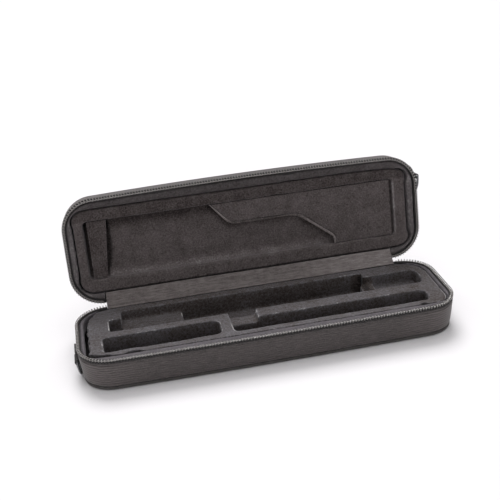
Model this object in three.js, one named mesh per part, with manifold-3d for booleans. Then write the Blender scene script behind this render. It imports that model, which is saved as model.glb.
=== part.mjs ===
// Zippered flute case, shown open: two moulded foam halves covered in woven fabric, joined by a
// fabric hinge, with a plush foam insert in the base and a frame, a pocket and a strap in the lid.
// Millimetres, +Z up, +X along the length, +Y towards the hinge.
// The origin is the centre of the underside of the base.
import * as THREE from 'three';
import { mergeVertices } from 'three/addons/utils/BufferGeometryUtils.js';
import Module from 'manifold-3d';

const wasm = await Module();
wasm.setup();

// Base insert, front row from the left: border, foot joint, divider, head joint, border
const footPocketLength = 128.5;
const dividerWidth = 13;
const headPocketLength = 223.5;
const insertEndBorder = 18.5;
// Base insert, front to back: border, front pockets, wall between the rows, body channel, border
const insertFrontBorder = 8.5;
const headPocketWidth = 24.5;
const footPocketExtraWidth = 6.5;
const rowWallWidth = 18;
const bodyChannelWidth = 43.5;
const insertRearBorder = 10.5;
const insertSink = 3;
const insertCornerRadius = 14;
const insertRearRadius = 32;
// Body channel from the left: notch for the tenon cap, shallow stretch, deep middle, step, key end
const bodyChannelLeftBorder = 27;
const bodyChannelRightBorder = 11;
const tenonNotchLength = 15;
const tenonNotchWidth = 27;
const tenonNotchDepth = 16;
const shallowLength = 70;
const shallowDepth = 12;
const keyStepLength = 16;
const keyStepDepth = 9;
const keyEndLength = 53;
const keyEndWidth = 33;
const keyEndDepth = 15;
const pocketDepth = 24;
const fingerGapLength = 30.5;
const fingerGapDepth = 7;
const pocketCornerRadius = 5;
const pocketEndRadius = 10;

// The rim is the inner line of the zip teeth, alike on both halves
const endBandWidth = 6.1;
const frontBandWidth = 10.8;
const rearBandWidth = 1.8;
const rimCornerRadius = 33.5;
const baseHeight = 39;
const lidDepth = 28.5;
const rimToFabric = 3;
const baseDraftShare = 0.0875;
const lidDraftShare = 0.05;

// Wall build-up
const fabricThickness = 0.8;
const layerGap = 0.3;
const foamWall = 3;
const foamFloor = 4;
const panelThickness = 1.2;
const pipingRadius = 2.1;
const pipingProud = 0.3;

// Zip chain: a strip of tape above the edge of the fabric, with half of the coil on top of it
const tapeHeight = 4.5;
const tapeThickness = 0.7;
const teethWidth = 2.7;
const teethHeight = 2.2;

// Inner band: the padded velvet collar between the teeth and the insert
const bandDepth = 17;
const bandDrop = 1.4;
const bandSlopeWidth = 7;
const bandInsertGap = 0.9;

// Hinge: its line, the outer cover that lies on both back walls, and the lining inside
const lidOpenAngle = 99.7;
const closedGap = 0.5;
const hingeOutboard = 1.9;
const hingeBelowRim = 1.5;
const hingeEndInset = 0.6;
const hingeCoverThickness = 1;
const hingeCoverLap = 12;
const hingeBendRadius = 2.5;
const liningThickness = 1.2;
const rearWallCut = 1.4;

// Lid insert: a frame round a recess, with a strap and a pocket across the recess
const lidFrameFrontInset = 9.6;
const lidFrameRearInset = 9.3;
const lidFrameRadius = 16;
const lidFrameSink = 4.4;
const lidSkirtSink = 8;
const lidLeftBorder = 14;
const lidRightBorder = 21;
const lidFrontBorder = 14;
const lidRearBorder = 16;
const recessRadius = 3;
const recessDepth = 9.5;
const strapSlot = 4.5;
const strapWidth = 23;
const strapNarrowing = 7;
const strapSink = 2;
const strapThickness = 1.5;
const lidPocketReach = 221;
const lidPocketHeight = 27;
const lidPocketSideSlant = 22;
const lidPocketFlat = 81;
const lidPocketSlant = 43;
const lidPocketFoot = 8;
const lidPocketSink = 1.5;
const lidPocketThickness = 1.6;
const lidPocketRadius = 9;
const bindingWidth = 2;
const bindingProud = 0.6;

// Carrying rings on webbing tabs, one on the left end of the base and one on the right end of the lid
const wireRadius = 1.4;
const ringInnerWidth = 20;
const ringHeight = 20;
const ringSwing = 0.3;
const baseRingLean = 8;
const tabWidth = 17;
const tabPlate = 1.5;
const tabPlateLength = 11;
const tabLoopWall = 1.1;
const baseTabForward = 17;
const lidTabForward = 34;
const lidTabSink = 14;

// Zip tails behind the hinge: a short joined chain on two feet, a slider and its pull
const tailBelowRim = 10;
const tailLength = 26;
const chainWidth = 5.4;
const chainThickness = 2;
const footLength = 3;
const sliderLength = 10;
const sliderWall = 1.1;
const sliderClearance = 0.35;
const bailWire = 0.8;
const bailHeight = 2.6;
const bailSpan = 6;
const pullLength = 24;
const pullWidth = 5.6;
const pullThickness = 1.2;
const pullEye = 5;
const pullRail = 1.4;

// Faceting, and one overrun for all cuts
const cornerFacets = 8;
const filletFacets = 4;
const wireFacets = 8;
const bowFacets = 14;
const overrun = 5;

// Places worked out from the sizes above
const insertLength = 2 * insertEndBorder + footPocketLength + dividerWidth + headPocketLength;
const insertWidth = insertFrontBorder + headPocketWidth + rowWallWidth + bodyChannelWidth + insertRearBorder;
const rimLength = insertLength + 2 * endBandWidth;
const rimWidth = insertWidth + frontBandWidth + rearBandWidth;
const rimBack = rimWidth / 2;
const hingeHalfLength = rimLength / 2 - rimCornerRadius - hingeEndInset;
const insertLeft = -insertLength / 2;
const insertRight = insertLength / 2;
const insertBack = rimBack - rearBandWidth;
const insertFront = insertBack - insertWidth;
const lidRimZ = baseHeight + closedGap;
const hingeY = rimBack + rimToFabric + hingeOutboard;
const hingeZ = baseHeight - hingeBelowRim;
const openAngle = THREE.MathUtils.degToRad(lidOpenAngle);
const rim = outline(rimLength, rimWidth, rimCornerRadius);

// Looks
const wovenFabric = { color: 0x4a4648, roughness: 0.9, metalness: 0 };
const foamCore = { color: 0x2b2a2b, roughness: 0.95, metalness: 0 };
const velvet = { color: 0x57545a, roughness: 0.95, metalness: 0 };
const plush = { color: 0x4b4a50, roughness: 1, metalness: 0 };
const zipTape = { color: 0x3c393b, roughness: 0.85, metalness: 0 };
const zipTeeth = { color: 0x6f6b6a, roughness: 0.5, metalness: 0 };
const webbing = { color: 0x403e40, roughness: 0.9, metalness: 0 };
const darkMetal = { color: 0x2c2c2e, roughness: 0.35, metalness: 1 };

// Solids from geometries
function solidOf(geometry) {
  const bare = geometry.clone();
  bare.deleteAttribute('normal');
  bare.deleteAttribute('uv');
  const merged = mergeVertices(bare);
  const corners = merged.index.array;
  const point = (i) => new THREE.Vector3().fromBufferAttribute(merged.attributes.position, i);
  const kept = [];
  let volume = 0;
  for (let i = 0; i < corners.length; i += 3) {
    const [a, b, c] = [corners[i], corners[i + 1], corners[i + 2]];
    if (a === b || b === c || c === a) continue;
    kept.push(a, b, c);
    volume += point(a).dot(point(b).cross(point(c)));
  }
  if (volume < 0) kept.reverse();
  return new wasm.Manifold(new wasm.Mesh({
    numProp: 3,
    vertProperties: new Float32Array(merged.attributes.position.array),
    triVerts: new Uint32Array(kept),
  }));
}

function geometryOf(solid) {
  const mesh = solid.getMesh();
  const geometry = new THREE.BufferGeometry();
  geometry.setAttribute('position', new THREE.BufferAttribute(new Float32Array(mesh.vertProperties), 3));
  geometry.setIndex(new THREE.BufferAttribute(new Uint32Array(mesh.triVerts), 1));
  geometry.computeVertexNormals();
  return geometry;
}

function add(group, name, solid, look) {
  const mesh = new THREE.Mesh(geometryOf(solid), new THREE.MeshStandardMaterial(look));
  mesh.name = name;
  group.add(mesh);
}

// A rounded rectangle that profiles are swept round
function outline(length, width, radius, x = 0, y = 0) {
  return { coreX: length / 2 - radius, coreY: width / 2 - radius, radius, x, y };
}

// Sweeps a profile of [distance outside the outline, height] points round a rounded rectangle.
// A closed profile gives a ring. One that starts and ends on null distances fills the middle.
function sweep(around, profile) {
  const facets = 4 * cornerFacets;
  const reach = 1 / Math.cos(Math.PI / facets);
  const points = profile.map(([out, height]) => (
    new THREE.Vector2(out === null ? 0 : (around.radius + out) * reach, height)
  ));
  if (profile[0][0] !== null) points.push(points[0].clone());
  const geometry = new THREE.LatheGeometry(points, facets, Math.PI / facets, 2 * Math.PI);
  geometry.rotateX(Math.PI / 2);
  const places = geometry.attributes.position;
  const nearMiddle = around.radius / 1e6;
  for (let i = 0; i < places.count; i += 1) {
    const [x, y] = [places.getX(i), places.getY(i)];
    const stretched = Math.hypot(x, y) > nearMiddle;
    places.setX(i, around.x + (stretched ? x + Math.sign(x) * around.coreX : 0));
    places.setY(i, around.y + (stretched ? y + Math.sign(y) * around.coreY : 0));
  }
  return solidOf(geometry);
}

// A filled block round an outline, from [distance, height] to [distance, height]
function block(around, [lowOut, low], [highOut, high]) {
  return sweep(around, [[null, low], [lowOut, low], [highOut, high], [null, high]]);
}

// The space that blocks round several outlines share
function filled(outlines, low, high) {
  return outlines.map((around) => block(around, low, high)).reduce((all, next) => all.intersect(next));
}

function box(x0, x1, y0, y1, z0, z1) {
  const geometry = new THREE.BoxGeometry(Math.abs(x1 - x0), Math.abs(y1 - y0), Math.abs(z1 - z0));
  return solidOf(geometry.translate((x0 + x1) / 2, (y0 + y1) / 2, (z0 + z1) / 2));
}

// A closed shape through [x, y, radius] corners
function roundedShape(corners) {
  const shape = new THREE.Shape();
  const places = corners.map(([x, y]) => new THREE.Vector2(x, y));
  corners.forEach(([, , radius = 0], i) => {
    const here = places[i];
    const back = places[(i + corners.length - 1) % corners.length].clone().sub(here);
    const onward = places[(i + 1) % corners.length].clone().sub(here);
    const cut = Math.min(radius, back.length() / 2, onward.length() / 2);
    const start = here.clone().add(back.setLength(cut));
    const end = here.clone().add(onward.setLength(cut));
    if (i === 0) shape.moveTo(start.x, start.y);
    else shape.lineTo(start.x, start.y);
    if (cut > 0) shape.quadraticCurveTo(here.x, here.y, end.x, end.y);
  });
  shape.closePath();
  return shape;
}

function plate(shape, z0, z1) {
  const settings = { depth: Math.abs(z1 - z0), bevelEnabled: false, curveSegments: filletFacets };
  return solidOf(new THREE.ExtrudeGeometry(shape, settings).translate(0, 0, Math.min(z0, z1)));
}

function roundedBox(x0, x1, y0, y1, z0, z1, radius, endRadius = radius) {
  const corners = [[x0, y0, radius], [x1, y0, endRadius], [x1, y1, endRadius], [x0, y1, radius]];
  return plate(roundedShape(corners), z0, z1);
}

// Extrudes a closed section of [y, z] points along X
function bar(section, x0, x1) {
  const shape = new THREE.Shape(section.map(([y, z]) => new THREE.Vector2(y, z)));
  const geometry = new THREE.ExtrudeGeometry(shape, { depth: x1 - x0, bevelEnabled: false });
  geometry.rotateX(Math.PI / 2).rotateZ(Math.PI / 2);
  return solidOf(geometry.translate(x0, 0, 0));
}

// The section of a strip of even thickness on the right of a line of [y, z] points
function stripSection(line, thickness) {
  const offset = line.map(([y, z], i) => {
    const [y0, z0] = line[Math.max(i - 1, 0)];
    const [y1, z1] = line[Math.min(i + 1, line.length - 1)];
    const length = Math.hypot(y1 - y0, z1 - z0);
    return [y + thickness * (z1 - z0) / length, z - thickness * (y1 - y0) / length];
  });
  return [...line, ...offset.reverse()];
}

function disc(radius, facets) {
  const shape = new THREE.Shape();
  for (let i = 0; i < facets; i += 1) {
    const turn = 2 * Math.PI * i / facets;
    const place = [radius * Math.cos(turn), radius * Math.sin(turn)];
    if (i === 0) shape.moveTo(...place);
    else shape.lineTo(...place);
  }
  shape.closePath();
  return shape;
}

// A wire bent along a half ellipse in X and Z, its ends at height 0
function bow(halfWidth, height, radius) {
  const points = [];
  for (let i = 0; i <= bowFacets; i += 1) {
    const turn = Math.PI * i / bowFacets;
    points.push(new THREE.Vector3(halfWidth * Math.cos(turn), 0, height * Math.sin(turn)));
  }
  const extrudePath = new THREE.CatmullRomCurve3(points);
  return new THREE.ExtrudeGeometry(disc(radius, wireFacets), {
    extrudePath, steps: bowFacets, bevelEnabled: false,
  });
}

// Where a point of the closed lid goes when the lid is opened: [y, height in the lid] to [y, z]
function opened(y, height) {
  const [acrossY, acrossZ] = [y - hingeY, lidRimZ + height - hingeZ];
  return [
    hingeY + acrossY * Math.cos(openAngle) + acrossZ * Math.sin(openAngle),
    hingeZ - acrossY * Math.sin(openAngle) + acrossZ * Math.cos(openAngle),
  ];
}

// Distance of the fabric's outer face outside the rim, at a depth below the rim
function fabricFace(depth, draftShare) {
  return rimToFabric - draftShare * Math.max(depth - tapeHeight, 0);
}

// The layers of one half. Depth is counted from the rim; at() turns it into a height
function addHalf(group, half) {
  const { name, depth, draftShare, at, insertSinkHere } = half;
  const face = (down, inside = 0) => [fabricFace(down, draftShare) - inside, at(down)];
  const behindHinge = box(
    -hingeHalfLength, hingeHalfLength, rimBack / 2, rimWidth, at(-overrun), at(depth),
  );

  const pipingDown = depth - layerGap - pipingRadius;
  const pipingOut = fabricFace(depth, draftShare) + pipingProud - pipingRadius;
  const pipingTop = pipingDown - pipingRadius - layerGap;
  const piping = [];
  for (let i = 0; i < wireFacets; i += 1) {
    const turn = 2 * Math.PI * i / wireFacets;
    piping.push([pipingOut + pipingRadius * Math.cos(turn), at(pipingDown + pipingRadius * Math.sin(turn))]);
  }
  add(group, `${name}_piping`, sweep(rim, piping), zipTape);

  add(group, `${name}_side_cover`, sweep(rim, [
    face(tapeHeight),
    face(pipingTop),
    face(pipingTop, fabricThickness),
    face(tapeHeight, fabricThickness),
  ]), wovenFabric);

  const panelOut = pipingOut - pipingRadius - layerGap;
  const panelEdges = [[panelOut, at(depth - panelThickness)], [panelOut, at(depth)]];
  add(group, half.panelName, block(rim, ...panelEdges), wovenFabric);

  // Moulded foam: walls behind the fabric, thinner behind the tape, and a floor on the panel
  const skin = fabricThickness + layerGap;
  const topSkin = skin + tapeThickness / 2;
  const floorDown = depth - panelThickness - layerGap;
  const floorInside = floorDown - foamFloor;
  const foamTop = teethHeight + layerGap;
  let foam = sweep(rim, [
    [null, at(floorDown)],
    [panelOut, at(floorDown)],
    [panelOut, at(pipingTop)],
    face(pipingTop, skin),
    face(tapeHeight + layerGap, skin),
    face(tapeHeight, topSkin),
    face(foamTop, topSkin),
    face(foamTop, skin + foamWall),
    face(floorInside, skin + foamWall),
    [null, at(floorInside)],
  ]);
  if (half.rearCut) {
    foam = foam.subtract(box(
      -hingeHalfLength, hingeHalfLength, rimBack / 2, rimWidth, at(-overrun), at(half.rearCut),
    ));
  }
  add(group, `${name}_shell`, foam, foamCore);

  const tapeOut = rimToFabric - layerGap;
  const tapeTop = teethHeight + layerGap;
  add(group, `${name}_zip_tape`, sweep(rim, [
    [tapeOut, at(tapeTop)],
    [tapeOut, at(tapeHeight - layerGap)],
    [tapeOut - tapeThickness, at(tapeHeight - layerGap)],
    [tapeOut - tapeThickness, at(tapeTop)],
  ]).subtract(behindHinge), zipTape);

  const rounding = teethHeight / 3;
  add(group, `${name}_zip_teeth`, sweep(rim, [
    [0, at(rounding)],
    [rounding, at(0)],
    [teethWidth - rounding, at(0)],
    [teethWidth, at(rounding)],
    [teethWidth, at(teethHeight - rounding)],
    [teethWidth - rounding, at(teethHeight)],
    [rounding, at(teethHeight)],
    [0, at(teethHeight - rounding)],
  ]).subtract(behindHinge), zipTeeth);

  const bandBack = skin + foamWall + layerGap;
  const bandInner = rimToFabric - bandBack - bandSlopeWidth;
  const bandLow = insertSinkHere - layerGap;
  const band = sweep(rim, [
    [null, at(bandDepth)],
    face(bandDepth, bandBack),
    face(bandDrop, bandBack),
    [bandInner, at(bandLow)],
    [null, at(bandLow)],
  ]);
  const hole = filled(
    half.insertOutlines, [bandInsertGap, at(-overrun)], [bandInsertGap, at(bandDepth + overrun)],
  );
  add(group, `${name}_inner_band`, band.subtract(hole).subtract(behindHinge), velvet);
  return { ...half, floorInside };
}

// Base
const base = new THREE.Group();
const baseAt = (depth) => baseHeight - depth;
const insertOutline = outline(
  insertLength, insertWidth, insertCornerRadius, 0, (insertFront + insertBack) / 2,
);
// The same edges at the back, with the wider corners that follow the rim
const insertRearOutline = outline(
  insertLength, 2 * insertWidth, insertRearRadius, 0, insertBack - insertWidth,
);
const baseHalf = addHalf(base, {
  name: 'base',
  panelName: 'base_bottom_panel',
  depth: baseHeight,
  draftShare: baseDraftShare,
  at: baseAt,
  insertSinkHere: insertSink,
  insertOutlines: [insertOutline, insertRearOutline],
  rearCut: insertSink + rearWallCut,
});

function addBaseInsert(group) {
  const top = baseAt(insertSink);
  const bottom = baseAt(baseHalf.floorInside - layerGap);
  const above = top + overrun;
  const draft = baseDraftShare * (top - bottom);
  const floor = (depth) => top - depth;
  const radius = pocketCornerRadius;
  const endRadius = pocketEndRadius;

  const footLeft = insertLeft + insertEndBorder;
  const footRight = footLeft + footPocketLength;
  const headLeft = footRight + dividerWidth;
  const headRight = headLeft + headPocketLength;
  const rowFront = insertFront + insertFrontBorder;
  const headBack = rowFront + headPocketWidth;
  const footBack = headBack + footPocketExtraWidth;
  const bodyFront = headBack + rowWallWidth;
  const bodyBack = bodyFront + bodyChannelWidth;
  const bodyLeft = insertLeft + bodyChannelLeftBorder;
  const bodyRight = insertRight - bodyChannelRightBorder;
  const shallowLeft = bodyLeft + tenonNotchLength;
  const notchBack = bodyFront + tenonNotchWidth;
  const deepLeft = shallowLeft + shallowLength;
  const keyEndLeft = bodyRight - keyEndLength;
  const keyStepLeft = keyEndLeft - keyStepLength;
  const keyBack = bodyFront + keyEndWidth;
  const fingerRight = headLeft + fingerGapLength;
  const fingerFloor = floor(fingerGapDepth);
  const lap = 2 * radius;

  let insert = filled([insertOutline, insertRearOutline], [-draft, bottom], [0, top]);
  const cuts = [
    roundedBox(footLeft, footRight, rowFront, footBack, floor(pocketDepth), above, radius, endRadius),
    roundedBox(headLeft, headRight, rowFront, headBack, floor(pocketDepth), above, radius, endRadius),
    box(headLeft + radius, fingerRight, headBack - radius, bodyFront + radius, fingerFloor, above),
    box(headLeft, headLeft + lap, headBack - lap, bodyFront + radius, fingerFloor, above),
    roundedBox(bodyLeft, shallowLeft, bodyFront, notchBack, floor(tenonNotchDepth), above, radius),
    roundedBox(bodyLeft, shallowLeft + lap, bodyFront, notchBack, floor(shallowDepth), above, radius),
    roundedBox(shallowLeft, deepLeft + lap, bodyFront, bodyBack, floor(shallowDepth), above, radius),
    box(deepLeft, keyStepLeft, bodyFront, bodyBack, floor(pocketDepth), above),
    box(keyStepLeft - overrun, keyEndLeft + overrun, bodyFront, keyBack, floor(keyStepDepth), above),
    roundedBox(keyEndLeft, bodyRight, bodyFront, keyBack, floor(keyEndDepth), above, radius, endRadius),
  ];
  cuts.forEach((cut) => { insert = insert.subtract(cut); });
  add(group, 'base_insert', insert, plush);
}
addBaseInsert(base);

// Hinge: the cover turns from the base's back wall to the lid's, and the lining spans the inside
function addHinge(group) {
  const coverOut = (depth, draftShare) => rimBack + fabricFace(depth, draftShare) + layerGap;
  const lapEnd = tapeHeight + hingeCoverLap;
  const baseLow = [coverOut(lapEnd, baseDraftShare), baseAt(lapEnd)];
  const baseHigh = [coverOut(tapeHeight, baseDraftShare), baseAt(tapeHeight)];
  const lidNear = opened(coverOut(tapeHeight, lidDraftShare), tapeHeight);
  const lidFar = opened(coverOut(lapEnd, lidDraftShare), lapEnd);
  const lidRim = opened(coverOut(tapeHeight, lidDraftShare), 0);
  const slope = (lidNear[1] - lidRim[1]) / (lidNear[0] - lidRim[0]);
  const corner = [baseHigh[0], lidNear[1] + slope * (baseHigh[0] - lidNear[0])];
  const tangent = hingeBendRadius / Math.tan((Math.PI - openAngle) / 2);
  const from = new THREE.Vector2(corner[0], corner[1] - tangent);
  const to = new THREE.Vector2(lidNear[0] - corner[0], lidNear[1] - corner[1]).setLength(tangent);
  const curve = new THREE.QuadraticBezierCurve(
    from, new THREE.Vector2(...corner), to.add(new THREE.Vector2(...corner)),
  );
  const turn = curve.getPoints(filletFacets).map(({ x, y }) => [x, y]);
  const line = [baseLow, baseHigh, ...turn, lidNear, lidFar];
  add(group, 'hinge_cover', bar(
    stripSection(line, hingeCoverThickness), -hingeHalfLength, hingeHalfLength,
  ), wovenFabric);

  const liningLow = [insertBack + layerGap, baseAt(insertSink)];
  const liningHigh = opened(rimBack - lidFrameRearInset + layerGap, lidFrameSink);
  add(group, 'hinge_lining', bar(
    stripSection([liningLow, liningHigh], liningThickness),
    layerGap - hingeHalfLength,
    hingeHalfLength - layerGap,
  ), velvet);
}
addHinge(base);

// Lid, built closed with its rim at height 0 and turned open about the hinge line
const lid = new THREE.Group();
const lidAt = (depth) => depth;
const lidFrameFront = lidFrameFrontInset - rimBack;
const lidFrameBack = rimBack - lidFrameRearInset;
const lidFrameOutline = outline(
  insertLength, lidFrameBack - lidFrameFront, lidFrameRadius, 0, (lidFrameFront + lidFrameBack) / 2,
);
const lidHalf = addHalf(lid, {
  name: 'lid',
  panelName: 'lid_top_panel',
  depth: lidDepth,
  draftShare: lidDraftShare,
  at: lidAt,
  insertSinkHere: lidFrameSink,
  insertOutlines: [lidFrameOutline],
});

function addLidInsert(group) {
  const bottom = lidHalf.floorInside - layerGap;
  const left = insertLeft + lidLeftBorder;
  const right = insertRight - lidRightBorder;
  const front = lidFrameFront + lidFrontBorder;
  const back = lidFrameBack - lidRearBorder;
  const gap = layerGap;

  // The skirt carries the frame back to the wall behind the hinge lining
  const skirtBack = rimBack - rearBandWidth;
  const skirtOutline = outline(
    insertLength, skirtBack - lidFrameFront, lidFrameRadius, 0, (lidFrameFront + skirtBack) / 2,
  );
  const draft = lidDraftShare * (bottom - lidFrameSink);
  const skirtDraft = lidDraftShare * (bottom - lidSkirtSink);
  const skirt = block(skirtOutline, [0, lidSkirtSink], [-skirtDraft, bottom]).intersect(
    box(-hingeHalfLength, hingeHalfLength, front, rimWidth, 0, lidDepth),
  );
  const opening = roundedBox(left, right, front, back, -overrun, lidDepth, recessRadius);
  const frame = block(lidFrameOutline, [0, lidFrameSink], [-draft, bottom]).add(skirt).subtract(opening);
  add(group, 'lid_border_frame', frame, plush);

  const padTop = lidFrameSink + recessDepth;
  add(group, 'lid_recess_pad', roundedBox(
    left + gap, right - gap, front + gap, back - gap, padTop, bottom, recessRadius,
  ), plush);

  const strapLeft = left + strapSlot;
  const strapTop = lidFrameSink + strapSink;
  add(group, 'lid_rod_strap', plate(roundedShape([
    [strapLeft, front + gap],
    [strapLeft + strapWidth, front + gap],
    [strapLeft + strapWidth - strapNarrowing, back - gap],
    [strapLeft, back - gap],
  ]), strapTop, strapTop + strapThickness), velvet);

  // The pocket's free edge: down a slant, along the flat, down a long slant and a short foot
  const edgeHeight = front + lidPocketHeight;
  const slantLeft = right - lidPocketReach;
  const flatLeft = slantLeft + lidPocketSideSlant;
  const flatRight = flatLeft + lidPocketFlat;
  const footX = flatRight + lidPocketSlant;
  const footY = back - lidPocketFoot;
  const pocketShape = (inset, low, high) => plate(roundedShape([
    [slantLeft + inset, front + gap],
    [right - gap, front + gap, recessRadius],
    [right - gap, back - gap, recessRadius],
    [footX + inset, back - gap],
    [footX + inset, footY - inset, lidPocketRadius],
    [flatRight + inset, edgeHeight - inset, lidPocketRadius],
    [flatLeft + inset, edgeHeight - inset, lidPocketRadius],
  ]), low, high);
  const pocketTop = lidFrameSink + lidPocketSink;
  const pocketUnder = pocketTop + lidPocketThickness;
  add(group, 'lid_pocket_panel', pocketShape(bindingWidth + gap, pocketTop, pocketUnder), plush);
  const binding = pocketShape(0, pocketTop - bindingProud, pocketUnder + bindingProud);
  add(group, 'lid_pocket_binding', binding.subtract(
    pocketShape(bindingWidth, pocketTop - overrun, pocketUnder + overrun),
  ).intersect(box(slantLeft - overrun, footX + bindingWidth, front, back, 0, lidDepth)), velvet);
}
addLidInsert(lid);

// A carrying ring and its webbing tab. The tab's plate follows the wall, and its loop holds the
// ring's bar. Both are built with the wall towards -X, the bar along Y and the ring hanging down,
// leaning towards the wall by some degrees, then placed with the bar's middle at the given point
const loopRadius = wireRadius + ringSwing + tabLoopWall;

function barCylinder(radius, length) {
  return solidOf(new THREE.ExtrudeGeometry(disc(radius, 2 * wireFacets), {
    depth: length, bevelEnabled: false,
  }).translate(0, 0, -length / 2).rotateX(Math.PI / 2));
}

function addRing(group, half, place, plateSpace, lean) {
  const skin = (down) => [fabricFace(down, half.draftShare) + layerGap, half.at(down)];
  const outer = (down) => [fabricFace(down, half.draftShare) + layerGap + tabPlate, half.at(down)];
  const wall = sweep(rim, [skin(tapeHeight), skin(half.depth), outer(half.depth), outer(tapeHeight)]);
  const placed = (solid) => solidOf(place(geometryOf(solid)));
  const tab = wall.intersect(plateSpace).add(placed(barCylinder(loopRadius, tabWidth)));
  add(group, `${half.name}_ring_tab`, tab.subtract(
    placed(barCylinder(wireRadius + ringSwing, tabWidth + overrun)),
  ), webbing);

  const halfWidth = ringInnerWidth / 2 + wireRadius;
  const curved = bow(halfWidth, ringHeight - 2 * wireRadius, wireRadius);
  curved.rotateX(Math.PI).rotateZ(Math.PI / 2);
  const straight = new THREE.CylinderGeometry(
    wireRadius, wireRadius, 2 * halfWidth + wireRadius, wireFacets,
  );
  const ring = geometryOf(solidOf(curved).add(solidOf(straight)));
  ring.rotateY(THREE.MathUtils.degToRad(lean));
  add(group, `${half.name}_d_ring`, placed(solidOf(ring)), darkMetal);
}

// Where the bar's middle is along X, for a loop that clears the end wall from a depth downwards
function barX(half, down, y) {
  const reach = rim.radius + fabricFace(down, half.draftShare) + layerGap + loopRadius;
  const intoCorner = Math.max(Math.abs(y) - rim.coreY, 0);
  return rim.coreX + Math.sqrt(reach * reach - intoCorner * intoCorner);
}

const baseBarDown = tapeHeight + tabPlateLength + loopRadius;
const baseBarX = -barX(baseHalf, baseBarDown - loopRadius, -baseTabForward);
addRing(base, baseHalf, (geometry) => (
  geometry.rotateZ(Math.PI).translate(baseBarX, -baseTabForward, baseAt(baseBarDown))
), box(
  -rimLength, 0, -baseTabForward - tabWidth / 2, -baseTabForward + tabWidth / 2,
  baseAt(tapeHeight + layerGap), baseAt(baseBarDown),
), baseRingLean);
const lidBarX = barX(lidHalf, lidTabSink - tabWidth / 2, -lidTabForward);
addRing(lid, lidHalf, (geometry) => (
  geometry.rotateX(Math.PI / 2).translate(lidBarX, -lidTabForward, lidTabSink)
), box(
  0, rimLength, -lidTabForward - loopRadius - tabPlateLength, -lidTabForward,
  lidTabSink - tabWidth / 2, lidTabSink + tabWidth / 2,
), 0);

// Zip tail, slider and pull on one side. Side is -1 on the left and 1 on the right
function addZipEnd(group, sideName, side) {
  const z = baseAt(tailBelowRim);
  const wallFace = rimBack + fabricFace(tailBelowRim - chainWidth, baseDraftShare);
  const coverFace = wallFace + layerGap + hingeCoverThickness;
  const chainNear = coverFace + layerGap + sliderWall + sliderClearance;
  const chainFar = chainNear + chainThickness;
  const outboard = hingeHalfLength;
  const inboard = outboard - tailLength;
  const along = (from, to) => (side > 0 ? [from, to] : [-to, -from]);
  const across = (half) => [z - half, z + half];
  const footing = coverFace + layerGap;

  const chain = box(...along(inboard, outboard), chainNear, chainFar, ...across(chainWidth / 2));
  const feet = [inboard, outboard - footLength].map((start) => (
    box(...along(start, start + footLength), footing, chainFar, ...across(chainWidth / 2))
  ));
  add(group, `zip_tail_${sideName}`, chain.add(feet[0]).add(feet[1]), zipTeeth);

  const sliderStart = inboard + footLength + layerGap;
  const hollowHalf = chainWidth / 2 + sliderClearance;
  const plateFace = chainFar + sliderClearance + sliderWall;
  const shellOuter = box(
    ...along(sliderStart, sliderStart + sliderLength), footing, plateFace, ...across(hollowHalf + sliderWall),
  );
  const shellInner = box(
    ...along(sliderStart - overrun, sliderStart + sliderLength + overrun),
    chainNear - sliderClearance, chainFar + sliderClearance, ...across(hollowHalf),
  );
  const middle = side * (sliderStart + sliderLength / 2);
  const bail = bow(bailSpan / 2, bailHeight + sliderWall / 2, bailWire).rotateX(-Math.PI / 2);
  bail.translate(middle, plateFace - sliderWall / 2, z);
  add(group, `zip_slider_${sideName}`, shellOuter.subtract(shellInner).add(solidOf(bail)), darkMetal);

  const pullCentre = plateFace + layerGap + pullThickness / 2;
  const pullNear = pullCentre - pullThickness / 2;
  const start = sliderStart + sliderLength / 2 + pullThickness / 2;
  const far = start - pullLength;
  const body = box(...along(far, start), pullNear, pullNear + pullThickness, ...across(pullWidth / 2));
  const eye = box(
    ...along(start - pullThickness - pullEye, start - pullThickness),
    pullNear - overrun, pullNear + pullThickness + overrun, ...across(pullWidth / 2 - pullRail),
  );
  add(group, `zip_pull_${sideName}`, body.subtract(eye), darkMetal);
}
addZipEnd(base, 'left', -1);
addZipEnd(base, 'right', 1);

lid.position.set(0, -hingeY, lidRimZ - hingeZ);
const lidTurn = new THREE.Group();
lidTurn.position.set(0, hingeY, hingeZ);
lidTurn.rotation.x = -openAngle;
lidTurn.add(lid);

const fluteCase = new THREE.Group();
fluteCase.add(base, lidTurn);
export default fluteCase;
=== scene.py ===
"""Looks for the open zippered flute case: woven nylon outside, velvet collars, plush pockets and lid,
coil zip, webbing tabs and black rings. Sizes are in millimetres until a piece is finished, then metres."""

import math
from types import SimpleNamespace

import bmesh
import bpy
from mathutils import Matrix, Vector, noise


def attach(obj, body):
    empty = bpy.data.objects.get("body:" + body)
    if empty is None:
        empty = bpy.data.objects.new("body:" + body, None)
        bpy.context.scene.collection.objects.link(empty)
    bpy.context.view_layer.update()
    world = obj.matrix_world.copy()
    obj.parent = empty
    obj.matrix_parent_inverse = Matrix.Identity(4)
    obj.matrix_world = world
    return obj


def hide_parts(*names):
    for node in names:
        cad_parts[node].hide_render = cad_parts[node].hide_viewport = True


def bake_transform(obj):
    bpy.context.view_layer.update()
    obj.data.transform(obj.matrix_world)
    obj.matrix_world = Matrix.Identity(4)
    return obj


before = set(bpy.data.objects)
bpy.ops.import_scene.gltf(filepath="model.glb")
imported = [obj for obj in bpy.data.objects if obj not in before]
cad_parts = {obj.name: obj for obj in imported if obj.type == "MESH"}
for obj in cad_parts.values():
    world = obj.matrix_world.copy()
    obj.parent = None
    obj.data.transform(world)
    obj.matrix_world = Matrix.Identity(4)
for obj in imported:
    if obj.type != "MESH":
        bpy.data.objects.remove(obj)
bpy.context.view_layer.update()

MM = 0.001

# ---- Sizes shared with the solids

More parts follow.
